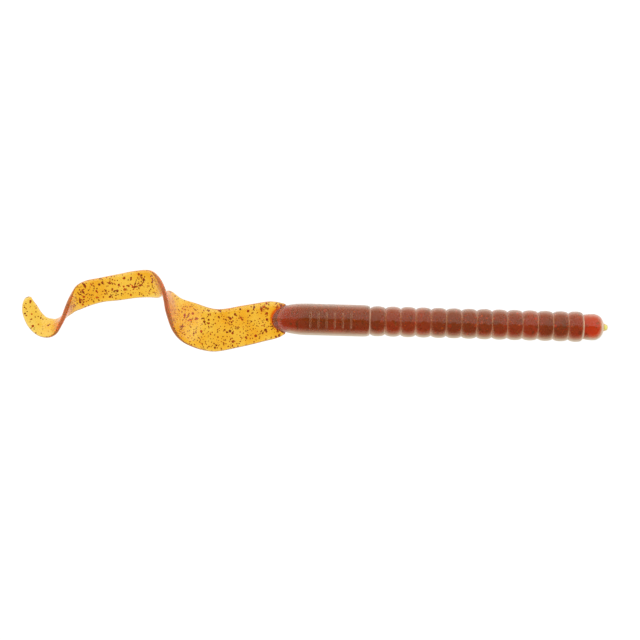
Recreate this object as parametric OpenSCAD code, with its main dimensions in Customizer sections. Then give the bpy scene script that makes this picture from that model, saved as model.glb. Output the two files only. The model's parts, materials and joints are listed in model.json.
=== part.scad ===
// Soft plastic worm, ringed body with a smooth collar and a curled ribbon tail.
// +X runs along the body towards the head, +Z is up, the worm lies along X.
// The origin is the middle of the smooth collar, on the body axis. Millimetres.

/* [Body] */
// Diameter of the smooth collar, the widest round part
collar_d = 9.4; // [9.2:0.1:10.4]
// Straight length of the collar's true cylinder
collar_len = 18; // [14:0.5:18]
// Diameter of each ring at its crest
ring_d = 9.0; // [8.4:0.1:9.1]
// Diameter at the bottom of each groove
groove_d = 7.9; // [7.6:0.1:8.1]
// Distance from one groove to the next
ring_pitch = 4.52; // [4.4:0.02:5]
// Diameter of the head bead
head_d = 7.8; // [7.2:0.1:8.4]
// Diameter of the small casting gate left on the nose
nub_d = 2.1; // [1.6:0.1:2.6]

/* [Ribbon tail] */
// Thickness of the ribbon
ribbon_t = 1.7; // [1.5:0.05:1.8]
// Width of the ribbon against its moulded width
ribbon_w = 1; // [0.9:0.02:1.06]
// Length of the ribbon against its moulded length
ribbon_len = 1; // [0.96:0.01:1.15]
// Sideways swing of the curl against its moulded swing
ribbon_swing = 1; // [0.9:0.02:1.1]

/* [Flexing links] */
// Ball at the heart of each groove, where the body flexes
ball_d = 3.2; // [2.8:0.1:3.4]
// Free space between link surfaces
link_gap = 0.04; // [0.03:0.01:0.06]
// Half of the open groove between two rings
groove_gap = 0.34; // [0.34:0.01:0.4]
// Diameter of the pin that the tail root swings on
root_pin_d = 2.0; // [1.6:0.1:2.2]

/* [Hidden] */
ring_count = 14;
link_count = 12;                       // ribbon links, from the root's end to the tip piece
function numbered(name, count) = [for (i = [1:count]) str(name, i < 10 ? "0" : "", i)];

body_color = [0.55, 0.24, 0.16];
tail_color = [0.96, 0.70, 0.20];
gate_color = [0.86, 0.80, 0.25];

link_seg = 48;
bead_seg = 64;
collar_seg = 96;

// Body
collar_r = collar_d / 2;
collar_end = collar_len / 2;
groove_r = groove_d / 2;
first_groove = collar_end + 2.9;       // x of the groove between collar and ring_01
// Groove i, on the tail side of ring i
function groove_x(i) = first_groove + (i - 1) * ring_pitch;
head_x = groove_x(ring_count + 1);
bead_power = 2.2;                      // roundness of the rings, 2 is an ellipse

// Ball links of the body
ball_r = ball_d / 2;
stem_r = 0.85;
stem_overlap = 0.4;                    // length of the stem beyond the shell's radius
shell_r = ball_r + link_gap + 0.66;    // outside of the socket round a ball
shell_mouth = 0.95;                    // from the ball's centre to the shell's tail side end
shell_top_angle = 60;
socket_mouth_angle = -48;

// Round tail end of the collar, centred on the tail root's pivot
dome_r = collar_r - 0.1;
dome_x = -collar_end - 3.4;
root_pin_h = 4;
slot_t = ribbon_t + 0.16;
tongue_t = ribbon_t - 0.3;
tongue_r = 2.1;
tongue_w = 3.2;
tongue_reach = dome_r + 0.6;
dome_clearance = 0.08;

// Head and nose nub, x measured from the head's groove
head_r = head_d / 2;
head_foot_r = groove_r - 0.5;
head_crest_x = 2.6;
nose_len = 3.4;
nub_hole_x = 4.6;
nub_x = 4.62;
nub_r = nub_d / 2;
nub_stem_r = nub_r - 0.34;

// Ribbon links
knuckle_inset = 1.3;                   // width of the ribbon less length of the knuckle
knuckle_cut_len = 16;
link_face_in = 0.22;                   // from a bending link to the start of the next piece
link_face_out = 0.1;                   // from the end of a piece to its bending link
twist_link = 6;                        // this link twists, the others bend
twist_face = 0.16;                     // from the twisting link to the piece on each side
pivot_r = 0.36;
pivot_len = 1.7;
pivot_back = 0.4;                      // length of the pivot on the body side of the link
pivot_cut_len = 3;

// Stations of the moulded curl, from the body to the tip, in mm:
// outer edge x, y, inner edge x, y,
// height of the outer edge over the inner, height of the middle
CURL = [
    [-13.2,  -4.5, -13.4,   4.4,  0.0,  0.0],
    [-14.6,  -5.4, -14.8,   4.7,  0.0,  0.0],
    [-16.4,  -6.1, -16.6,   5.0,  0.0,  0.0],
    [-19.0,  -6.8, -19.2,   4.9, -0.3, -0.1],
    [-26.4,  -8.8, -25.9,   3.6, -1.2, -0.9],
    [-34.8, -10.4, -33.6,   2.3, -1.8, -1.5],
    [-41.8,  -8.6, -40.5,   4.0,  2.7,  0.0],
    [-45.6,  -5.3, -44.5,   5.2,  5.2,  2.0],
    [-47.5,   0.2, -47.2,   6.9,  8.4,  3.7],
    [-48.2,   4.4, -48.6,   7.3,  9.4,  4.4],
    [-49.2,   8.3, -49.6,   6.0,  9.2,  4.8],
    [-50.8,  11.3, -51.0,   5.3,  6.5,  5.0],
    [-53.3,  13.1, -53.6,   5.2,  2.8,  4.8],
    [-57.6,  12.9, -57.4,   4.9,  1.5,  4.1],
    [-62.9,  11.8, -62.2,   4.1,  0.9,  3.2],
    [-68.2,  10.6, -67.0,   3.5,  1.5,  2.4],
    [-72.5,   9.6, -70.7,   2.5,  2.4,  1.6],
    [-75.3,   7.9, -74.0,   1.3,  4.2,  0.8],
    [-76.7,   5.1, -76.3,   0.6,  5.9, -0.1],
    [-77.8,   2.0, -78.1,  -0.4,  6.6, -0.8],
    [-78.7,  -1.1, -79.8,  -1.4,  6.8, -1.1],
    [-79.9,  -4.0, -81.5,  -2.1,  6.4, -1.4],
    [-81.4,  -6.5, -83.0,  -2.0,  4.6, -1.7],
    [-84.0,  -7.6, -84.6,  -1.5,  2.1, -2.0],
    [-87.2,  -6.9, -86.0,  -0.1,  0.0, -1.9],
    [-90.0,  -4.2, -87.3,   1.9,  0.0, -1.5],
    [-91.6,  -0.1, -88.4,   3.4,  0.0, -0.9],
    [-91.3,   3.8, -89.2,   4.8,  0.0, -0.4]
];
last_station = len(CURL) - 1;
moulded_pivot_x = -12.4;               // the tail root's pivot in the frame of CURL

// Smooth curve (Catmull-Rom) through the stations, u counts stations from 0
function station(i) = CURL[min(max(i, 0), last_station)];
function through(a, b, c, d, t) =
    0.5 * (2 * b + (c - a) * t + (2 * a - 5 * b + 4 * c - d) * t * t
        + (3 * b - a - 3 * c + d) * t * t * t);
function row(u) =
    let (i = min(max(floor(u), 0), last_station - 1))
    through(station(i - 1), station(i), station(i + 1), station(i + 2), u - i);
function curl_x(x) = dome_x + (x - moulded_pivot_x) * ribbon_len;
function outer(r) = [curl_x(r[0]), r[1] * ribbon_swing, r[5] + r[4] / 2];
function inner(r) = [curl_x(r[2]), r[3] * ribbon_swing, r[5] - r[4] / 2];
function middle(u) = let (r = row(u)) (outer(r) + inner(r)) / 2;
function unit(v) = v / norm(v);

// Pairs of length along the middle of the ribbon and u, so that the links are evenly spaced
u_step = 0.1;
LENGTH_TO_U = [
    for (i = 0, s = 0;
         i * u_step <= last_station + 0.001;
         s = s + norm(middle((i + 1) * u_step) - middle(i * u_step)), i = i + 1)
        [s, i * u_step]
];
ribbon_total = LENGTH_TO_U[len(LENGTH_TO_U) - 1][0];
root_len = 8.6;                        // from the first station to the first ribbon link
link_step = (ribbon_total - root_len) / link_count;
// Length at link j, the body end of ribbon j
function link_s(j) = root_len + (j - 1) * link_step;

// Frame of the ribbon at length s, its fields in this order
MIDDLE = 0;
ACROSS = 1;                            // from the inner edge to the outer
ALONG = 2;                             // towards the tip
THROUGH = 3;                           // through the thickness
HALF_WIDTH = 4;
function frame_at(s) =
    let (u = lookup(s, LENGTH_TO_U),
         r = row(u),
         edge = outer(r) - inner(r),
         across = unit(edge),
         travel = middle(min(u + 0.05, last_station)) - middle(max(u - 0.05, 0)),
         along = unit(travel - (travel * across) * across))
    [(outer(r) + inner(r)) / 2, across, along, cross(along, across), norm(edge) / 2 * ribbon_w];

// Half thickness, a tenth thinner at the tip
function half_t(s) = ribbon_t / 2 * (1 - 0.1 * s / ribbon_total);
function knuckle_r(s) = 0.64 * half_t(s);

// Eight-sided cross-section with its edges bevelled
function section(s) =
    let (f = frame_at(s),
         a = f[HALF_WIDTH],
         b = half_t(s),
         flat = a - min(0.45, a * 0.4),
         side = 0.4 * b,
         outline = [[a, side], [flat, b], [-flat, b], [-a, side],
                    [-a, -side], [-flat, -b], [flat, -b], [a, -side]])
    [for (p = outline) f[MIDDLE] + p[0] * f[ACROSS] + p[1] * f[THROUGH]];

// Ribbon solid from length s0 to s1, in n slices
module loft(s0, s1, n) {
    points = [for (i = [0:n]) each section(s0 + (s1 - s0) * i / n)];
    sides = [
        for (i = [0:n - 1], k = [0:7])
            let (a = i * 8 + k, b = i * 8 + (k + 1) % 8, c = a + 8, d = b + 8)
            each [[a, d, b], [a, c, d]]
    ];
    ends = [[for (k = [0:7]) k], [for (k = [7:-1:0]) n * 8 + k]];
    polyhedron(points, concat(sides, ends), convexity = 6);
}

// Moves a child to an origin and turns its axes to x, y, z
module to_frame(origin, x, y, z) {
    multmatrix([for (i = [0:2]) [x[i], y[i], z[i], origin[i]], [0, 0, 0, 1]]) children();
}

// Lays a child's Z along the width of the ribbon at length s
module across(s) {
    f = frame_at(s);
    to_frame(f[MIDDLE], f[ALONG], -f[THROUGH], f[ACROSS]) children();
}

// Lays a child's Z along the length of the ribbon at length s
module along(s) {
    f = frame_at(s);
    to_frame(f[MIDDLE], f[THROUGH], f[ACROSS], f[ALONG]) children();
}

// Round knuckle that ends a ribbon piece, along its width
module knuckle(s) {
    across(s) cylinder(r = knuckle_r(s), h = 2 * frame_at(s)[HALF_WIDTH] - knuckle_inset,
        center = true, $fn = link_seg);
}

// Groove that takes the knuckle of the piece before
module knuckle_cut(s) {
    across(s) cylinder(r = knuckle_r(s) + link_gap, h = knuckle_cut_len,
        center = true, $fn = link_seg);
}

// One ribbon piece, from link j to link j + 1
module ribbon(j) {
    s0 = link_s(j);
    s1 = link_s(j + 1);
    twist_in = j == twist_link;
    twist_out = j + 1 == twist_link;
    color(tail_color) union() {
        difference() {
            loft(s0 + (twist_in ? twist_face : link_face_in),
                s1 - (twist_out ? twist_face : link_face_out), 8);
            if (twist_in)
                along(s0) cylinder(r = pivot_r + link_gap, h = pivot_cut_len,
                    center = true, $fn = link_seg);
            else
                knuckle_cut(s0);
        }
        if (twist_out)
            along(s1) translate([0, 0, -pivot_back])
                cylinder(r = pivot_r, h = pivot_len, $fn = link_seg);
        else
            knuckle(s1);
    }
}

// Turned outlines: each point is [radius, x]
module turned(outline, seg) {
    rotate([0, 90, 0]) rotate_extrude($fn = seg) polygon(outline);
}
function arc(r, angles, centre = 0) = [for (a = angles) [r * cos(a), centre + r * sin(a)]];
function spread(a0, a1, n) = [for (i = [0:n]) a0 + (a1 - a0) * i / n];

// Ball in the groove at x, on a stem from the piece on its tail side
module ball(x) {
    stem_x = -shell_r - stem_overlap;
    translate([x, 0, 0]) turned(concat(
        [[0, stem_x], [stem_r, stem_x]],
        arc(ball_r, [-90 + asin(stem_r / ball_r):6:90]),
        [[0, ball_r]]), link_seg);
}

// Cut round x with a circular outline of radius r, from angle a0 to a1, -90 facing the tail
module round_cut(x, r, a0, a1) {
    translate([x, 0, 0]) turned(concat(
        [[0, r * sin(a0)]],
        arc(r, [for (a = spread(a0, a1, 18)) if (abs(a) < 89.9) a]),
        [[0, r * sin(a1)]]), link_seg);
}

// Round hollow in the end of the piece that carries a ball
module hollow(x) {
    round_cut(x, shell_r + link_gap, -90, 0);
}

// Hollow for the ball inside the shell
module socket(x) {
    round_cut(x, ball_r + link_gap, socket_mouth_angle, 90);
}

// Socket shell that closes over a ball; it belongs to the piece on the head side of groove x
module shell(x) {
    translate([x, 0, 0]) turned(concat(
        [[0, -shell_mouth]],
        arc(shell_r, spread(-asin(shell_mouth / shell_r), shell_top_angle, 10)),
        [[0, shell_r * sin(shell_top_angle)]]), link_seg);
}

// Rounded bead from x0 to x1
module bead(x0, x1) {
    half = (x1 - x0) / 2;
    rise = ring_d / 2 - groove_r;
    translate([(x0 + x1) / 2, 0, 0]) turned(concat(
        [[0, -half]],
        [for (q = spread(-1, 1, 14))
            [groove_r + rise * pow(max(0, 1 - pow(abs(q), bead_power)), 1 / bead_power),
                q * half]],
        [[0, half]]), bead_seg);
}

module ring(i) {
    x0 = groove_x(i);
    x1 = groove_x(i + 1);
    color(body_color) union() {
        difference() {
            union() {
                bead(x0 + groove_gap, x1 - groove_gap);
                shell(x0);
            }
            socket(x0);
            hollow(x1);
        }
        ball(x1);
    }
}

module collar() {
    end_x = first_groove - groove_gap;
    color(body_color) union() {
        difference() {
            turned(concat(
                [[0, dome_x - dome_r]],
                arc(dome_r, [-84:6:0], dome_x),
                [[collar_r, -collar_end], [collar_r, collar_end]],
                [for (a = [15:15:90])
                    [groove_r + (collar_r - groove_r) * cos(a),
                        collar_end + (end_x - collar_end) * sin(a)]],
                [[0, end_x]]), collar_seg);
            hollow(first_groove);
            root_slot();
        }
        ball(first_groove);
        translate([dome_x, 0, 0])
            cylinder(d = root_pin_d, h = root_pin_h, center = true, $fn = link_seg);
    }
}

// Slot in the round tail end, for the tongue of the tail root
module root_slot() {
    translate([dome_x, 0, 0]) {
        cylinder(r = 2.5, h = slot_t, center = true, $fn = link_seg);
        linear_extrude(height = slot_t, center = true)
            polygon([[0, -2.3], [0, 2.3], [-6, 3.4], [-6, -3.4]]);
    }
}

module head() {
    color(body_color) difference() {
        union() {
            translate([head_x, 0, 0]) turned(concat(
                [[0, groove_gap], [head_foot_r, groove_gap]],
                [for (a = [60:-15:0])
                    [head_foot_r + (head_r - head_foot_r) * cos(a),
                        head_crest_x - (head_crest_x - groove_gap) * sin(a)]],
                [for (a = [7.5:7.5:82.5])
                    [head_r * pow(cos(a), 0.9), head_crest_x + nose_len * sin(a)]],
                [[0, head_crest_x + nose_len]]), bead_seg);
            shell(head_x);
        }
        socket(head_x);
        translate([head_x + nub_hole_x, 0, 0]) rotate([0, 90, 0])
            cylinder(d = nub_d - 0.6, h = 3, $fn = link_seg);
    }
}

// Short gate stub on the nose, with a stem that sits in the head
module nose_nub() {
    color(gate_color) translate([head_x + nub_x, 0, 0]) turned([
        [0, 0], [nub_stem_r, 0], [nub_stem_r, 1.42], [nub_r, 1.46], [nub_r, 2.3],
        [nub_r - 0.12, 2.55], [nub_r - 0.5, 2.68], [0, 2.7]], link_seg);
}

// First piece of the ribbon, with a tongue that swings on the collar's pin
module tail_root() {
    color(tail_color) union() {
        difference() {
            loft(0, link_s(1) - link_face_out, 9);
            translate([dome_x, 0, 0]) sphere(r = dome_r + dome_clearance, $fn = 96);
        }
        difference() {
            union() {
                translate([dome_x, 0, 0])
                    cylinder(r = tongue_r, h = tongue_t, center = true, $fn = link_seg);
                translate([dome_x - tongue_reach, -tongue_w / 2, -tongue_t / 2])
                    cube([tongue_reach, tongue_w, tongue_t]);
            }
            translate([dome_x, 0, 0]) cylinder(d = root_pin_d + 2 * link_gap, h = root_pin_h,
                center = true, $fn = link_seg);
        }
        knuckle(link_s(1));
    }
}

// Last piece of the ribbon, out to the tip
module tail_tip() {
    s0 = link_s(link_count);
    color(tail_color) difference() {
        loft(s0 + link_face_in, ribbon_total, 8);
        knuckle_cut(s0);
    }
}

module ring_01() { ring(1); }
module ring_02() { ring(2); }
module ring_03() { ring(3); }
module ring_04() { ring(4); }
module ring_05() { ring(5); }
module ring_06() { ring(6); }
module ring_07() { ring(7); }
module ring_08() { ring(8); }
module ring_09() { ring(9); }
module ring_10() { ring(10); }
module ring_11() { ring(11); }
module ring_12() { ring(12); }
module ring_13() { ring(13); }
module ring_14() { ring(14); }
module ribbon_01() { ribbon(1); }
module ribbon_02() { ribbon(2); }
module ribbon_03() { ribbon(3); }
module ribbon_04() { ribbon(4); }
module ribbon_05() { ribbon(5); }
module ribbon_06() { ribbon(6); }
module ribbon_07() { ribbon(7); }
module ribbon_08() { ribbon(8); }
module ribbon_09() { ribbon(9); }
module ribbon_10() { ribbon(10); }
module ribbon_11() { ribbon(11); }

collar();
ring_01();
ring_02();
ring_03();
ring_04();
ring_05();
ring_06();
ring_07();
ring_08();
ring_09();
ring_10();
ring_11();
ring_12();
ring_13();
ring_14();
head();
nose_nub();
tail_root();
ribbon_01();
ribbon_02();
ribbon_03();
ribbon_04();
ribbon_05();
ribbon_06();
ribbon_07();
ribbon_08();
ribbon_09();
ribbon_10();
ribbon_11();
tail_tip();
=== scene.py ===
"""A ringed body of clear tinted soft plastic, full of flake, with a curled ribbon tail.

The round body lies along X: the collar is round the origin, fourteen rings and the head
follow towards +X, and a short gate stub ends the nose. The ribbon leaves the round end
behind the collar, towards -X, and curls in the XY plane. +Z is up, and the camera looks down.
Shapes are worked out in millimetres and turned into metres when a mesh is made.
"""
import json
import math
from collections import namedtuple

import bpy
import numpy as np
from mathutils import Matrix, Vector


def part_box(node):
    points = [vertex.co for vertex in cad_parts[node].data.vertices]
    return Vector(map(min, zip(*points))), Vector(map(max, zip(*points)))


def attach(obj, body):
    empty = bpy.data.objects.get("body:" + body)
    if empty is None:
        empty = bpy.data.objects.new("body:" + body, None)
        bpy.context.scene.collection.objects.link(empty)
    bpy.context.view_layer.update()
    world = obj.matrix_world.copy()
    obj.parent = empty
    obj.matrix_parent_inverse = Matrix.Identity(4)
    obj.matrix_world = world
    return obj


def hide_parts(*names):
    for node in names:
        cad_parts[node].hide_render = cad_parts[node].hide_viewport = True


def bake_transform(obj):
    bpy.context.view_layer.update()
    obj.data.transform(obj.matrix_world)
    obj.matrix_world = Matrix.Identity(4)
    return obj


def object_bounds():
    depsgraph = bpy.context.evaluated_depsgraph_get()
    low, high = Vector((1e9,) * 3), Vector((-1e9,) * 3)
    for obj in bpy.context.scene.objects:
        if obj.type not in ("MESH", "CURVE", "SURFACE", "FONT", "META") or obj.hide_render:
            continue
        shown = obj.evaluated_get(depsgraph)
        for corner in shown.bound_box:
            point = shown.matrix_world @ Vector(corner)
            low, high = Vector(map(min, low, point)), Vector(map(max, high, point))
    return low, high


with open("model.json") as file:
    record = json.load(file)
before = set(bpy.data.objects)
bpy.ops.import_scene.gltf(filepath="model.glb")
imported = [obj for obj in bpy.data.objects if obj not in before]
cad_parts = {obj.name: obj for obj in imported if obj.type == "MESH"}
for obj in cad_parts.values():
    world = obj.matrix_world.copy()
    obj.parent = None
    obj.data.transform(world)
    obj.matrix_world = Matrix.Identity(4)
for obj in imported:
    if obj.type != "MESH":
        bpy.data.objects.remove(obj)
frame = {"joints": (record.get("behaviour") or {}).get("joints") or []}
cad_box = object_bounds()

rng = np.random.default_rng(20751)
scene = bpy.context.scene
MM = 0.001
AROUND = 96                                  # points round each section

# ---------------------------------------------------------------- sizes taken from the frame
RINGS = 14
joint_of = {joint["child"]: joint for joint in frame["joints"]}


def joint_place(child):
    return np.array(joint_of[child]["pos_m"]) / MM


ring_names = [f"ring_{i:02d}" for i in range(1, RINGS + 1)]
ribbon_names = [f"ribbon_{i:02d}" for i in range(1, 12)]
# x of each groove, from the collar to the head
groove = [float(joint_place(child)[0]) for child in ring_names + ["head"]]
last_groove = groove[-1]
pitch = (last_groove - groove[0]) / RINGS
head_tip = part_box("head")[1][0] / MM
stub_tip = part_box("nose_nub")[1][0] / MM
collar_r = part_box("collar")[1][2] / MM
ring_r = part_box("ring_07")[1][2] / MM
head_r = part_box("head")[1][2] / MM
lowest_z = cad_box[0][2] / MM


def unit(vector):
    return vector / np.linalg.norm(vector)


def smooth(start, end, x):
    t = min(max((x - start) / (end - start), 0.0), 1.0)
    return t * t * (3 - 2 * t)


# ---------------------------------------------------------------- path of the ribbon
# Stations from root to tip: x and y of the first edge (the -Y one at the root), x and y of
# the second edge, z of the first edge above the second, z of the middle.
CURL = np.array([
    [-13.2,  -4.5, -13.4,   4.4,  0.0,  0.0],
    [-14.6,  -5.4, -14.8,   4.7,  0.0,  0.0],
    [-16.4,  -6.1, -16.6,   5.0,  0.0,  0.0],
    [-19.0,  -6.8, -19.2,   4.9, -0.3, -0.1],
    [-26.4,  -8.8, -25.9,   3.6, -1.2, -0.9],
    [-34.8, -10.4, -33.6,   2.3, -1.8, -1.5],
    [-41.8,  -8.6, -40.5,   4.0,  2.7,  0.0],
    [-45.6,  -5.3, -44.5,   5.2,  5.2,  2.0],
    [-47.5,   0.2, -47.2,   6.9,  8.4,  3.7],
    [-48.2,   4.4, -48.6,   7.3,  9.4,  4.4],
    [-49.2,   8.3, -49.6,   6.0,  9.2,  4.8],
    [-50.8,  11.3, -51.0,   5.3,  6.5,  5.0],
    [-53.3,  13.1, -53.6,   5.2,  2.8,  4.8],
    [-57.6,  12.9, -57.4,   4.9,  1.5,  4.1],
    [-62.9,  11.8, -62.2,   4.1,  0.9,  3.2],
    [-68.2,  10.6, -67.0,   3.5,  1.5,  2.4],
    [-72.5,   9.6, -70.7,   2.5,  2.4,  1.6],
    [-75.3,   7.9, -74.0,   1.3,  4.2,  0.8],
    [-76.7,   5.1, -76.3,   0.6,  5.9, -0.1],
    [-77.8,   2.0, -78.1,  -0.4,  6.6, -0.8],
    [-78.7,  -1.1, -79.8,  -1.4,  6.8, -1.1],
    [-79.9,  -4.0, -81.5,  -2.1,  6.4, -1.4],
    [-81.4,  -6.5, -83.0,  -2.0,  4.6, -1.7],
    [-84.0,  -7.6, -84.6,  -1.5,  2.1, -2.0],
    [-87.2,  -6.9, -86.0,  -0.1,  0.0, -1.9],
    [-90.0,  -4.2, -87.3,   1.9,  0.0, -1.5],
    [-91.6,  -0.1, -88.4,   3.4,  0.0, -0.9],
    [-91.3,   3.8, -89.2,   4.8,  0.0, -0.4]])
LAST_ROW = len(CURL) - 1
SAMPLES = 50                                 # samples of the path for each row of CURL


def curl_row(u):
    """row of CURL at fractional index u, on a Catmull-Rom spline"""
    i = int(min(max(math.floor(u), 0), LAST_ROW - 1))
    t = u - i
    a, b, c, d = (CURL[min(max(k, 0), LAST_ROW)] for k in (i - 1, i, i + 1, i + 2))
    return 0.5 * (2 * b + (c - a) * t + (2 * a - 5 * b + 4 * c - d) * t * t
                  + (3 * b - a - 3 * c + d) * t ** 3)


def ribbon_edges(u):
    x1, y1, x2, y2, rise, z = curl_row(u)
    return np.array([x1, y1, z + rise / 2]), np.array([x2, y2, z - rise / 2])


def ribbon_middle(u):
    first, second = ribbon_edges(u)
    return (first + second) / 2


path_u = np.arange(0, LAST_ROW * SAMPLES + 1) / SAMPLES
path = np.array([ribbon_middle(u) for u in path_u])
path_length = np.concatenate([[0], np.cumsum(np.linalg.norm(np.diff(path, axis=0), axis=1))])
TOTAL = float(path_length[-1])


def ribbon_frame(length):
    """middle, across, up and half width at this length along the ribbon"""
    u = float(np.interp(length, path_length, path_u))
    first, second = ribbon_edges(u)
    across = unit(first - second)
    ahead = ribbon_middle(min(u + 0.05, LAST_ROW)) - ribbon_middle(max(u - 0.05, 0))
    along = unit(ahead - (ahead @ across) * across)
    half_width = np.linalg.norm(first - second) / 2
    return (first + second) / 2, across, np.cross(along, across), half_width


# ---------------------------------------------------------------- radius of the round body
HEAD_RISE = 2.7              # from the last groove to the widest place of the head
NOSE_LAP = 0.12              # overlap of nose and gate stub
STUB_R, STUB_TAPER = 1.12, 0.3
STUB_ROUND = 0.4             # length of the rounding at the stub's tip
LAST_DEEPER = 0.28           # how much deeper the last groove is
SHOULDER = 2.9               # length of the collar's shoulder
END_FROM, END_LENGTH = -6, 11.25             # the round end behind the collar
head_top = last_groove + HEAD_RISE
foot_r = ring_r - 0.74       # radius in a groove
ring_var = 1 + rng.normal(0, 0.004, 16)      # rings differ slightly in radius


def bulge(q, into, out):
    """1 at q = 0, falling to 0 at q = 1"""
    return max(0.0, 1 - q ** into) ** (1 / out)


def head_radius(x):
    if x < head_top:
        q = (head_top - x) / (head_top - last_groove)
        return foot_r - LAST_DEEPER + (head_r - foot_r + LAST_DEEPER) * bulge(q, 2.2, 2.2)
    q = min((x - head_top) / (head_tip + NOSE_LAP - head_top), 1)
    nose = head_r * bulge(q, 2.3, 2.3)
    stub = (STUB_R - STUB_TAPER * (x - head_tip) / (stub_tip - head_tip)
            + 0.05 * math.sin((x - head_tip) * 5))
    if x > stub_tip - STUB_ROUND:
        stub *= math.sqrt(max(0.0, 1 - ((x - stub_tip + STUB_ROUND) / STUB_ROUND) ** 2))
    return (nose ** 4 + stub ** 4) ** 0.25


def ring_radius(x):
    k = min(int((x - groove[0]) / pitch), RINGS - 1)
    q = abs((x - groove[0]) / pitch - k - 0.5) * 2
    q = min(q / 0.975, 1.0)                  # the foot of each groove is flat
    crest = ring_r * ring_var[k]
    radius = foot_r + (crest - foot_r) * (1 - q ** 2.05) ** (1 / 1.9)
    if k == RINGS - 1 and x > last_groove - pitch / 2:
        radius -= LAST_DEEPER * smooth(last_groove - 0.8, last_groove, x)
    return radius


def body_radius(x):
    if x > last_groove:
        return head_radius(x)
    if x >= groove[0]:
        return ring_radius(x)
    if x > groove[0] - SHOULDER:
        q = (x - groove[0] + SHOULDER) / SHOULDER
        return foot_r + (collar_r - foot_r) * bulge(q, 3.0, 3.0)
    if x > END_FROM:
        return collar_r
    return collar_r * bulge(min((END_FROM - x) / END_LENGTH, 1), 2.4, 2.4)


# ---------------------------------------------------------------- sections of the skin
RIBBON_X = -13.3             # x where the ribbon begins
RIBBON_HALF = 0.85           # half thickness of the ribbon at its root
TIP_ROUND = 1.3              # length of the rounding at the ribbon's tip
BAR_X = (-5.8, -3.4, -1.0, 1.4, 3.8, 6.2)    # low bars across the top of the collar, all alike
BAR_HEIGHT = 0.15
end_r = body_radius(RIBBON_X)

# at: x on the body, or length along the ribbon. radius: of the round body. slab: half
# thickness of the ribbon, 0 on the body.
Section = namedtuple("Section", "at centre across up half_width radius slab")


def section(kind, at):
    if kind == "body":
        radius = max(body_radius(at), 0.0)
        return Section(at, np.array([at, 0, 0]), np.array([0, -1.0, 0]), np.array([0, 0, 1.0]),
                       radius, radius, 0.0)
    centre, across, up, half_width = ribbon_frame(at)
    radius = max(body_radius(RIBBON_X - at), 0.0) if at < 4.2 else 0.0
    slab = (RIBBON_HALF * (1 - 0.1 * at / TOTAL)
            * (1 - 0.32 * smooth(0.74 * TOTAL, 0.97 * TOTAL, at)))
    left = TOTAL - at
    if left < TIP_ROUND:
        k = math.sqrt(max(0.0, 1 - (1 - left / TIP_ROUND) ** 2))
        half_width = half_width * (0.25 + 0.75 * k) if left > 0 else half_width * 0.2
        slab = slab * max(k, 0.05)
    return Section(at, centre, across, up, max(half_width, radius), radius, slab)


def half_thickness(y, sec):
    """half thickness at y across; the body's round end sinks into the ribbon near its root"""
    round_part = np.maximum(sec.radius * sec.radius - y * y, 0)
    if sec.slab <= 0:
        return np.sqrt(round_part)
    dome = end_r * (round_part / end_r ** 2) ** (0.5 + 0.42 * smooth(0, 2.6, sec.at))
    q = np.clip(np.abs(y) / max(sec.half_width, 1e-6), 0, 1)
    slab = sec.slab * np.sqrt(np.maximum(1 - q ** 9, 0))
    return (dome ** 2.2 + slab ** 2.2) ** (1 / 2.2)


turn_angle = np.arange(AROUND) * 2 * math.pi / AROUND
COS, SIN = np.cos(turn_angle), np.sin(turn_angle)


def bar_height(x, angle):
    """height of the bars at x, at this angle from the top of the collar"""
    height = 0.0
    for bar_x in BAR_X:
        height = max(height, 1 - smooth(0.13, 0.27, abs(x - bar_x)))
    return BAR_HEIGHT * height * (1 - smooth(0.44, 0.56, abs(angle)))


def ring_points(kind, at):
    sec = section(kind, at)
    y = sec.half_width * COS
    z = half_thickness(y, sec) * np.sign(SIN) * (np.abs(SIN) > 1e-9)
    points = sec.centre + y[:, None] * sec.across + z[:, None] * sec.up
    if kind == "body" and -7.5 < at < 7.5:
        angles = np.arctan2(COS, SIN)        # 0 at the top
        for k in range(AROUND):
            if SIN[k] > 0:
                height = bar_height(at, angles[k])
                points[k] += sec.up * SIN[k] * height + sec.across * COS[k] * height
    return points


# ---------------------------------------------------------------- seams and stations
COLLAR_SEAM = 8.6            # x of the seams on both sides of the collar
ROOT_SEAM = 4.6              # ribbon length of the seam in the middle of the tail root
links = [float(path_length[np.argmin(np.linalg.norm(path - joint_place(child), axis=1))])
         for child in ribbon_names + ["tail_tip"]]
link_step = (links[-1] - links[0]) / 11
seams = [("body", head_tip - NOSE_LAP), ("body", head_top)]
seams += [("body", groove[k] + pitch / 2) for k in range(RINGS - 1, -1, -1)]
seams += [("body", COLLAR_SEAM), ("body", -COLLAR_SEAM), ("tail", ROOT_SEAM)]
seams += [("tail", links[k] + link_step / 2) for k in range(11)]

# stations along one ring and along the front of the head, as fractions; closer near grooves
RING_STEPS = (0, .02, .045, .075, .11, .15, .2, .26, .33, .41, .5, .59, .67, .74, .8, .85, .89,
              .925, .955, .98)
HEAD_STEPS = (0, .02, .05, .09, .14, .2, .28, .38, .5, .64, .8, 1)
BAR_STEPS = (0.10, 0.14, 0.18, 0.22, 0.26)   # distances from the middle of a bar


def with_seams(kind, values, clearance):
    """rounded values, with the seams in place of any that lie too near them"""
    places = {round(float(value), 5) for value in values}
    for seam_kind, seam in seams:
        if seam_kind == kind:
            places = {place for place in places if abs(place - seam) > clearance} | {seam}
    return sorted(places)


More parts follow.
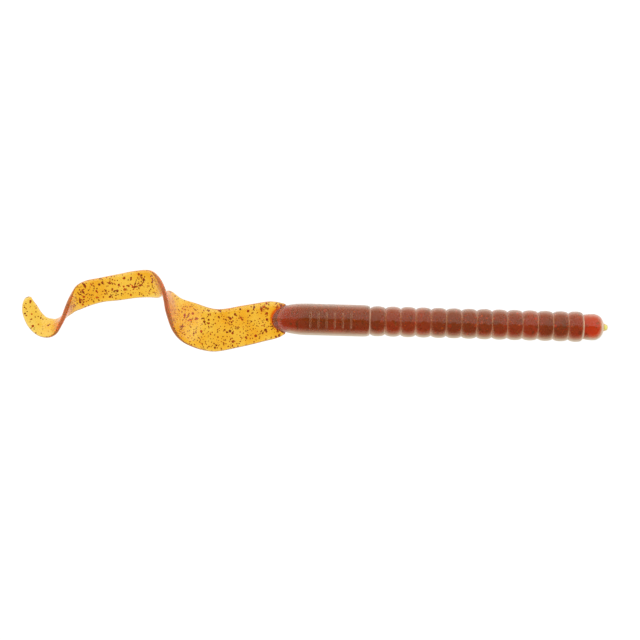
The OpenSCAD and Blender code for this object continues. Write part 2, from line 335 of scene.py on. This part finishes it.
body_values = np.concatenate([
    np.linspace(stub_tip, stub_tip - STUB_ROUND, 9),
    np.linspace(stub_tip - 0.45, head_tip - 0.9, 12),
    np.linspace(head_tip - 0.9, head_top, 16),
    [groove[k] + t * pitch for k in range(RINGS) for t in RING_STEPS],
    [last_groove + t * HEAD_RISE for t in HEAD_STEPS],
    np.linspace(9.0, groove[0], 20),
    np.arange(-8.4, 8.9, 0.16),
    [bar_x + side * d for bar_x in BAR_X for d in BAR_STEPS for side in (-1, 1)],
    np.linspace(-COLLAR_SEAM, -13.15, 16)])
tail_values = np.concatenate([
    np.linspace(0, 3.2, 14), np.linspace(3.3, 3.95, 12), np.arange(4.05, TOTAL - TIP_ROUND, 0.36),
    TOTAL - TIP_ROUND * (1 - np.sin(np.linspace(0, math.pi / 2, 12)))])
# from the nose to the tip of the tail
stations = [("body", float(x)) for x in reversed(with_seams("body", body_values, 0.03))]
stations += [("tail", float(at)) for at in with_seams("tail", tail_values, 0.05)]
grid = np.array([ring_points(kind, at) for kind, at in stations])    # stations x AROUND x 3

# ---------------------------------------------------------------- fields read by the materials
BODY_MORE, NOSE_LEFT = 2.0, 0.57   # extra pigment of the body, and what is left of it at the nose
fields = {
    "rim": np.zeros(grid.shape[:2]),         # 1 along the edge face of the ribbon
    "rounded": np.zeros(grid.shape[:2]),     # 1 on the round body, 0 on the ribbon
    "pigment": np.zeros(grid.shape[:2]),     # how much pigment the plastic holds
    "clearer": np.zeros(grid.shape[:2]),     # 1 where the body sinks into the ribbon
}
for i, (kind, at) in enumerate(stations):
    if kind == "tail":
        fields["rim"][i] = np.clip((np.abs(COS) - 0.945) / 0.035, 0, 1) * smooth(1.0, 6.0, at)
    for k in range(AROUND):
        x, y, z = grid[i, k]
        outside = 0.0                        # above 1 beyond the round end of the body
        if kind == "tail":
            far = max(END_FROM - x, 0) / END_LENGTH
            outside = far ** 2.4 + (math.hypot(y, z) / 4.7) ** 2.4
        rounded = 1 - smooth(1.0, 1.2, outside)
        nose = smooth(last_groove - 6, last_groove + 1, x)
        fields["rounded"][i, k] = rounded
        fields["clearer"][i, k] = smooth(-11.5, -13.5, x) * rounded
        fields["pigment"][i, k] = ((1.08 + (BODY_MORE - 0.08) * rounded)
                                   * (1 - (1 - NOSE_LEFT) * nose))

# normals of the whole skin, so that neighbouring pieces meet without a visible seam
d_path = np.empty_like(grid)
d_path[1:-1] = grid[2:] - grid[:-2]
d_path[0], d_path[-1] = grid[1] - grid[0], grid[-1] - grid[-2]
d_round = np.roll(grid, -1, 1) - np.roll(grid, 1, 1)
normals = np.cross(d_round, d_path)
normal_size = np.linalg.norm(normals, axis=2, keepdims=True)
normals = np.where(normal_size > 1e-9, normals / np.maximum(normal_size, 1e-12), 0)


# ---------------------------------------------------------------- shader helpers
def node(tree, kind, inputs=None, **settings):
    """add a node; each input is a number, an RGB colour or the output of another node"""
    added = tree.nodes.new("ShaderNode" + kind)
    for key, value in settings.items():
        setattr(added, key, value)
    for key, value in (inputs or {}).items():
        if isinstance(value, bpy.types.NodeSocket):
            tree.links.new(value, added.inputs[key])
        else:
            added.inputs[key].default_value = (*value, 1) if isinstance(value, tuple) else value
    return added


def math_node(tree, operation, *values):
    return node(tree, "Math", dict(enumerate(values)), operation=operation).outputs[0]


def mix_color(tree, factor, first, second, blend="MIX"):
    return node(tree, "Mix", {0: factor, 6: first, 7: second},
                data_type="RGBA", blend_type=blend).outputs[2]


def mix_shader(tree, factor, first, second):
    return node(tree, "MixShader", {0: factor, 1: first, 2: second}).outputs[0]


def ramp(tree, value, span, to=(0.0, 1.0)):
    """smooth step of value over span, from to[0] to to[1]"""
    inputs = {"From Min": span[0], "From Max": span[1], "To Min": to[0], "To Max": to[1],
              "Value": value}
    return node(tree, "MapRange", inputs, interpolation_type="SMOOTHSTEP").outputs[0]


def new_tree(owner):
    owner.use_nodes = True
    owner.node_tree.nodes.clear()
    return owner.node_tree


def new_material(name):
    material = bpy.data.materials.new(name)
    return material, new_tree(material)


def absorbed(tree, sigma, scale=None):
    """light left after the path since the last surface, and the light path node"""
    light_path = node(tree, "LightPath")
    ray = light_path.outputs["Ray Length"]
    # longer rays start outside the plastic and lose nothing
    ray = math_node(tree, "MULTIPLY", ray, math_node(tree, "LESS_THAN", ray, 0.06))
    if scale is not None:
        ray = math_node(tree, "MULTIPLY", ray, scale)
    left = [math_node(tree, "EXPONENT", math_node(tree, "MULTIPLY", ray, -loss / MM))
            for loss in sigma]
    return node(tree, "CombineColor", dict(enumerate(left))).outputs[0], light_path


# ---------------------------------------------------------------- the plastic
# light lost per mm in red, green and blue
SIGMA = (0.068, 0.445, 2.1)
GATE_SIGMA = (0.10, 0.10, 0.9)
# milk is the share of diffuse surface
BODY_MILK, BODY_MILK_COLOR = 0.13, (0.80, 0.32, 0.05)
EDGE_SPAN = (0.12, 0.68)                     # facing values where a turning surface gets milky
EDGE_BODY, EDGE_TAIL = (0.92, 0.76, 0.58), (0.88, 0.47, 0.24)
EDGE_BODY_MILK, EDGE_TAIL_MILK = 0.85, 0.36
RIM_MILK, RIM_COLOR = 0.55, (0.66, 0.26, 0.10)     # along the edge face of the ribbon
BACK_MILK = 0.25                             # light scattered in through the far side
CLEARER_LOSS = 0.8                           # edge milk lost where the body sinks into the ribbon


def milk_layer(tree, milk, milk_color, field, geometry):
    """weight and colour of the milkiness under the surface, pale where the surface turns away"""
    def calc(*args):
        return math_node(tree, *args)

    layer = node(tree, "LayerWeight", {"Blend": 0.5})
    turn = ramp(tree, layer.outputs["Facing"], EDGE_SPAN)
    front = calc("SUBTRACT", 1.0, geometry.outputs["Backfacing"])
    most, edge_color = EDGE_TAIL_MILK, EDGE_TAIL
    if field:
        body = field["rounded"]
        milk = calc("ADD", calc("MULTIPLY", body, BODY_MILK - milk), milk)
        milk_color = mix_color(tree, body, milk_color, BODY_MILK_COLOR)
        edge_color = mix_color(tree, body, EDGE_TAIL, EDGE_BODY)
        # painted light: the body's edge milk is full on its -Y side and falls to a quarter towards
        # +Y, a paler -Y rim standing in for light focused through the body onto that side
        normal = node(tree, "SeparateXYZ", {0: geometry.outputs["Normal"]})
        painted_light_side_milk = ramp(tree, normal.outputs["Y"], (0.1, 0.6),
                         to=(EDGE_BODY_MILK, 0.25 * EDGE_BODY_MILK))
        painted_light_side_extra = calc("SUBTRACT", painted_light_side_milk, EDGE_TAIL_MILK)
        most = calc("ADD", calc("MULTIPLY", body, painted_light_side_extra), EDGE_TAIL_MILK)
        kept = calc("SUBTRACT", 1.0, calc("MULTIPLY", field["clearer"], CLEARER_LOSS))
        most = calc("MULTIPLY", most, kept)
    edge_milk = calc("MULTIPLY", turn, most)
    if field:
        milk = calc("ADD", milk, calc("MULTIPLY", field["rim"], RIM_MILK))
        milk_color = mix_color(tree, field["rim"], milk_color, RIM_COLOR)
    weight = calc("MINIMUM", calc("ADD", edge_milk, milk), 1.0)
    return calc("MULTIPLY", weight, front), mix_color(tree, turn, milk_color, edge_color)


def plastisol(name, sigma, tint, rough=0.13, shaped=True, milk=0.05,
              milk_color=(0.90, 0.52, 0.10)):
    """clear tinted plastic that darkens with depth; shaped: it follows the fields of the skin"""
    material, tree = new_material(name)
    place = node(tree, "TexCoord").outputs["Object"]
    cloud = node(tree, "TexNoise", {"Scale": 150, "Detail": 4, "Vector": place}).outputs["Fac"]
    amount = ramp(tree, cloud, (0.3, 0.7), to=(0.80, 1.20))
    field = {}
    if shaped:
        for key in ("rounded", "pigment", "rim", "clearer"):
            field[key] = node(tree, "Attribute", attribute_name=key).outputs["Fac"]
        amount = math_node(tree, "MULTIPLY", amount, field["pigment"])
    light_left, light_path = absorbed(tree, sigma, amount)
    geometry = node(tree, "NewGeometry")
    backfacing = geometry.outputs["Backfacing"]
    glass_color = mix_color(tree, backfacing, (1.0, 1.0, 1.0), light_left)
    # fine ripple of a soft moulded skin
    ripple = node(tree, "TexNoise", {"Scale": 700, "Detail": 4, "Vector": place})
    bump = node(tree, "Bump", {"Strength": 0.22, "Distance": 0.00012,
                               "Height": ripple.outputs["Fac"]})
    glass = node(tree, "BsdfGlass", {
        "IOR": 1.47, "Color": glass_color, "Normal": bump.outputs[0],
        "Roughness": ramp(tree, cloud, (0.0, 1.0), to=(rough * 0.7, rough * 1.3))})
    weight, color = milk_layer(tree, milk, milk_color, field, geometry)
    milky = node(tree, "BsdfDiffuse", {"Color": color})
    surface = mix_shader(tree, weight, glass.outputs[0], milky.outputs[0])
    inward = node(tree, "BsdfTranslucent", {"Color": light_left})
    surface = mix_shader(tree, math_node(tree, "MULTIPLY", backfacing, BACK_MILK),
                         surface, inward.outputs[0])
    # light reaches the flake and the table straight through the skin
    through = node(tree, "BsdfTransparent", {"Color": glass_color})
    surface = mix_shader(tree, light_path.outputs["Is Shadow Ray"], surface, through.outputs[0])
    node(tree, "OutputMaterial", {"Surface": surface})
    material.diffuse_color = (*tint, 1)
    return material


def flake_material(name, base, metallic, rough):
    """thin flake inside the plastic, seen through what lies above it"""
    material, tree = new_material(name)
    light_left, _ = absorbed(tree, SIGMA)
    place = node(tree, "TexCoord").outputs["Object"]
    noise = node(tree, "TexNoise", {"Scale": 420, "Vector": place})
    tone = ramp(tree, noise.outputs["Fac"], (0.35, 0.65))
    paint = mix_color(tree, tone, (base[0] * 0.65, base[1] * 0.5, base[2] * 0.5), base)
    color = mix_color(tree, 1.0, paint, light_left, blend="MULTIPLY")
    front = node(tree, "BsdfPrincipled", {"Metallic": metallic, "Roughness": rough,
                                          "Specular IOR Level": 0.1, "Base Color": color})
    # a little of the light behind it comes through
    back = node(tree, "BsdfTranslucent", {"Color": color})
    surface = mix_shader(tree, 0.3, front.outputs[0], back.outputs[0])
    node(tree, "OutputMaterial", {"Surface": surface})
    material.diffuse_color = (*base, 1)
    return material


def clear_material(name):
    material, tree = new_material(name)
    clear = node(tree, "BsdfTransparent", {"Color": (1, 1, 1)})
    node(tree, "OutputMaterial", {"Surface": clear.outputs[0]})
    material.diffuse_color = (1, 1, 1, 0)
    return material


skin_materials = {
    "body": plastisol("plastisol_body", SIGMA, tint=(0.50, 0.17, 0.08)),
    "tail": plastisol("plastisol_tail", SIGMA, tint=(0.93, 0.58, 0.10)),
    "gate": plastisol("plastisol_gate", GATE_SIGMA, tint=(0.78, 0.68, 0.16), rough=0.3,
                      shaped=False, milk=0.25, milk_color=(0.85, 0.8, 0.25)),
}
joint_material = clear_material("plastisol_inner_joint")
RED, DARK, PAINTED_GLINT = range(3)                 # material slots of the flake
flake_materials = [
    flake_material("flake_red", base=(0.86, 0.26, 0.012), metallic=0.1, rough=0.45),
    flake_material("flake_dark", base=(0.66, 0.25, 0.008), metallic=0.1, rough=0.5),
    # real flakes in a bright pink-red that stands in for their glints: painted glint
    flake_material("flake_painted_glint", base=(1.0, 0.05, 0.07), metallic=0.1, rough=0.4),
]


# ---------------------------------------------------------------- meshes
def new_mesh(name, verts, faces, materials, slots=None, shade_smooth=False):
    mesh = bpy.data.meshes.new(name)
    mesh.from_pydata(verts, [], faces)
    for material in materials:
        mesh.materials.append(material)
    if slots is not None:
        mesh.polygons.foreach_set("material_index", slots)
    if shade_smooth:
        mesh.polygons.foreach_set("use_smooth", [True] * len(faces))
    mesh.update()
    return mesh


def add_object(name, data):
    added = bpy.data.objects.new(name, data)
    scene.collection.objects.link(added)
    return added


def skin(name, first, last, material):
    """closed slice of the skin between two stations; clear faces close it at its neighbours"""
    rows = grid[first:last + 1]
    row_normals = normals[first:last + 1]
    end = len(rows) - 1
    faces, slots, loop_normals = [], [], []
    for i in range(end):
        for k in range(AROUND):
            k1 = (k + 1) % AROUND
            quad = [(i, k), (i, k1), (i + 1, k1), (i + 1, k)]
            faces.append([a * AROUND + b for a, b in quad])
            slots.append(0)
            loop_normals += [row_normals[a, b] for a, b in quad]
    faces.append(list(range(AROUND - 1, -1, -1)))
    slots.append(0 if first == 0 else 1)
    loop_normals += [-unit(rows[1].mean(0) - rows[0].mean(0))] * AROUND
    faces.append([end * AROUND + k for k in range(AROUND)])
    slots.append(0 if last == len(grid) - 1 else 1)
    loop_normals += [unit(rows[-1].mean(0) - rows[-2].mean(0))] * AROUND
    verts = (rows.reshape(-1, 3) * MM).tolist()
    mesh = new_mesh(name, verts, faces, (material, joint_material), slots, shade_smooth=True)
    for key, values in fields.items():
        attribute = mesh.attributes.new(key, "FLOAT", "POINT")
        attribute.data.foreach_set("value", values[first:last + 1].ravel())
    mesh.normals_split_custom_set([tuple(normal) for normal in loop_normals])
    return add_object(name, mesh)


# ---------------------------------------------------------------- flake
FLAKE_RADII = ((0.12, 0.25), (0.26, 0.48), (0.45, 0.75))     # small, big and biggest
BODY_DENSITY = (0.20, 0.09, 0.012)           # flakes per cubic mm, for each size
TAIL_DENSITY = (0.74, 0.11)
SMALL_HALF, BIG_HALF = 0.014, 0.018          # half thickness of a flake
SKIN_GAP = 0.06                              # least plastic above and below a flake
THICK = 1.2                  # half thickness of plastic where flakes may lie at any angle
TRIES = 60

# a slice to fill: steps between its stations, their running sum, the largest half thickness
# times half width, and whether it joins body and ribbon
Slice = namedtuple("Slice", "first steps along fullest joins")
Spot = namedtuple("Spot", "section y z radius tilt thick")


def find_spot(part, radii):
    """a place for one flake, or None"""
    for _ in range(TRIES):
        radius = rng.uniform(*radii)
        distance = rng.uniform(radius + 0.05, max(part.along[-1] - radius - 0.05, radius + 0.06))
        j = min(int(np.searchsorted(part.along, distance)) - 1, len(part.steps) - 1)
        j = max(j, 0)
        t = (distance - part.along[j]) / max(part.steps[j], 1e-9)
        kind, at = stations[part.first + j]
        next_kind, next_at = stations[part.first + j + 1]
        if kind == next_kind:
            at = at + (next_at - at) * t
        sec = section(kind, at)
        width = sec.half_width
        y = rng.uniform(-width, width)
        half = 1e9
        for step in (-1, 0, 1):              # stay under the skin all round
            near = np.searchsorted(part.along, distance + step * radius * 1.1)
            near_kind, near_at = stations[int(np.clip(near, 0, len(part.along) - 1)) + part.first]
            if near_kind != kind and kind == "tail":
                continue
            across = np.array([abs(y), abs(y) + radius * 0.75])
            near_section = section(near_kind, near_at)
            half = min(half, float(half_thickness(across, near_section).min()))
        thick = half > THICK
        most_tilt = 1 if thick else min(0.5, max(0.0, (half - 0.12) / radius - 0.1))
        tilt = most_tilt * rng.uniform(0, 1)
        room = half - radius * tilt - SKIN_GAP
        if abs(y) + radius > width - 0.08 or room <= 0:
            continue
        z = rng.uniform(-room, room)
        if rng.uniform() > half * width / part.fullest:      # even through the volume
            continue
        # as sparse in the round end as in the rest of the round body
        if part.joins and half > 1.3 and rng.uniform() < 0.8:
            return None
        return Spot(sec, y, z, radius, tilt, thick)
    return None


def flake_corners(spot, half):
    """the twelve corners of a six-sided flake"""
    sec = spot.section
    middle = sec.centre + spot.y * sec.across + spot.z * sec.up
    along = np.cross(sec.across, sec.up)
    heading = rng.uniform(0, 2 * math.pi)
    lean = math.acos(rng.uniform(-1, 1)) if spot.thick else math.asin(min(1.0, spot.tilt))
    level = sec.across * math.cos(heading) + along * math.sin(heading)
    normal = unit(sec.up * math.cos(lean) + level * math.sin(lean))
    e1 = unit(np.cross(normal, sec.across if abs(normal @ sec.across) < 0.9 else along))
    e2 = np.cross(normal, e1)
    phase = rng.uniform(0, 1)
    corners = []
    for side in (-1, 1):
        for q in range(6):
            angle = (q + phase) * math.pi / 3
            spoke = spot.radius * (math.cos(angle) * e1 + math.sin(angle) * e2)
            corners.append(tuple((middle + spoke + side * half * normal) * MM))
    return corners


def flakes(name, first, last):
    """all the flake inside one slice"""
    first_kind, first_at = stations[first]
    round_body = stations[last][0] == "body"
    steps = np.linalg.norm(np.diff(grid[first:last + 1].mean(1), axis=0), axis=1)
    volume, fullest = 0.0, 0.0
    for i in range(first, last):
        sec = section(*stations[i])
        width = sec.half_width
        half = half_thickness(np.linspace(-width, width, 41), sec)
        volume += 4 * width * float(half.mean()) * steps[i - first]
        fullest = max(fullest, width * float(half.max()))
    part = Slice(first, steps, np.concatenate([[0], np.cumsum(steps)]), fullest,
                 joins=first_kind == "body" and not round_body)
    # fewer in the head, and in the ribbon past a length equal to the last groove's x
    sparse = 0.6 if first_at > last_groove else 1.0
    narrow = 1.0
    if first_kind == "tail":
        narrow = 1 + 0.2 * smooth(40, 50, first_at) - 0.1 * smooth(70, 85, first_at)
    verts, faces, slots = [], [], []
    for size, density in enumerate(BODY_DENSITY if round_body else TAIL_DENSITY):
        big = size > 0
        for _ in range(rng.poisson(volume * density * narrow * sparse)):
            spot = find_spot(part, FLAKE_RADII[size])
            if spot is None:
                continue
            base = len(verts)
            verts += flake_corners(spot, BIG_HALF if big else SMALL_HALF)
            faces.append([base + q for q in range(5, -1, -1)])
            faces.append([base + 6 + q for q in range(6)])
            for q in range(6):
                q1 = (q + 1) % 6
                faces.append([base + q, base + q1, base + 6 + q1, base + 6 + q])
            pick = rng.uniform()
            if round_body:
                # in the body the biggest flakes and some others get the painted glint colour
                slot = PAINTED_GLINT if size == 2 or pick < 0.15 else RED
            else:
                slot = RED if pick < (0.75 if big else 0.3) else DARK
            slots += [slot] * 8
    if not faces:
        return None
    return add_object(name, new_mesh(name, verts, faces, flake_materials, slots))


# ---------------------------------------------------------------- pieces, from the nose
# label, material, frame pieces it moves with, frame pieces it replaces
pieces = [("gate_stub", "gate", ["head"], ["nose_nub"]), ("nose", "body", ["head"], ["head"])]
chain = ["head"] + ring_names[::-1] + ["collar"]
for k in range(RINGS + 1):
    pieces.append((f"groove_{RINGS + 1 - k:02d}", "body", chain[k:k + 2], [chain[k]] if k else []))
pieces.append(("collar", "body", ["collar"], ["collar"]))
pieces.append(("tail_root", "tail", ["collar", "tail_root"], ["tail_root"]))
chain = ["tail_root"] + ribbon_names + ["tail_tip"]
for k in range(12):
    pieces.append((f"ribbon_link_{k + 1:02d}", "tail", chain[k:k + 2], [chain[k + 1]]))


cuts = [0] + [stations.index(seam) for seam in seams] + [len(stations) - 1]
for (label, kind, rides, replaced), first, last in zip(pieces, cuts, cuts[1:]):
    shell = skin("skin_" + label, first, last, skin_materials[kind])
    group = [shell]
    if kind != "gate":
        filling = flakes("flake_" + label, first, last)
        if filling:
            group.append(filling)
    for part in group:
        if len(rides) == 1:
            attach(part, rides[0])
        else:
            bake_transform(part)
    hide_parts(*replaced)

# ---------------------------------------------------------------- floor
FLOOR_DROP = 52.0            # low enough that no bent pose goes through it
FLOOR_HALF = 3.0             # metres
floor_z = (lowest_z - FLOOR_DROP) * MM
floor_material, tree = new_material("floor_pale")
glow = node(tree, "Emission", {"Color": (1, 1, 1), "Strength": 0.85})
matt = node(tree, "BsdfDiffuse", {"Color": (0.3, 0.3, 0.3)})
both = node(tree, "AddShader", {0: glow.outputs[0], 1: matt.outputs[0]})
node(tree, "OutputMaterial", {"Surface": both.outputs[0]})
floor_corners = [(x * FLOOR_HALF, y * FLOOR_HALF, floor_z)
                 for x, y in ((-1, -1), (1, -1), (1, 1), (-1, 1))]
floor = add_object("floor", new_mesh("floor", floor_corners, [(0, 1, 2, 3)], [floor_material]))

# ---------------------------------------------------------------- world
world = bpy.data.worlds.new("studio")
scene.world = world
tree = new_tree(world)
direction = node(tree, "SeparateXYZ", {0: node(tree, "TexCoord").outputs["Generated"]})
# bright over the +Y side, dim over the -Y side
sky = ramp(tree, direction.outputs["Y"], (-0.04, 0.10), to=(0.22, 1.35))
# the walls near the horizon are plain and pale
height = ramp(tree, direction.outputs["Z"], (0.10, 0.35))
strength = node(tree, "Mix", {0: height, 2: 1.05, 3: sky}, data_type="FLOAT").outputs[0]
# the camera itself shades the light straight overhead
shade = ramp(tree, direction.outputs["Z"], (0.970, 0.995), to=(1.0, 0.15))
strength = math_node(tree, "MULTIPLY", strength, shade)
background = node(tree, "Background", {"Color": (1, 1, 1), "Strength": strength})
node(tree, "OutputWorld", {0: background.outputs[0]})

# ---------------------------------------------------------------- camera and render
camera_data = bpy.data.cameras.new("camera")
camera_data.lens = 100
camera_data.sensor_width = 36
camera_data.clip_start = 0.01
camera = add_object("camera", camera_data)
camera.location = (-0.00297, -0.00011, 0.528)
camera.rotation_euler = (0, 0, math.radians(1.58))
scene.camera = camera

scene.view_settings.view_transform = "Standard"
scene.view_settings.look = "None"
scene.cycles.max_bounces = 24
scene.cycles.transmission_bounces = 20
scene.cycles.transparent_max_bounces = 32
scene.cycles.glossy_bounces = 8
scene.cycles.sample_clamp_indirect = 6
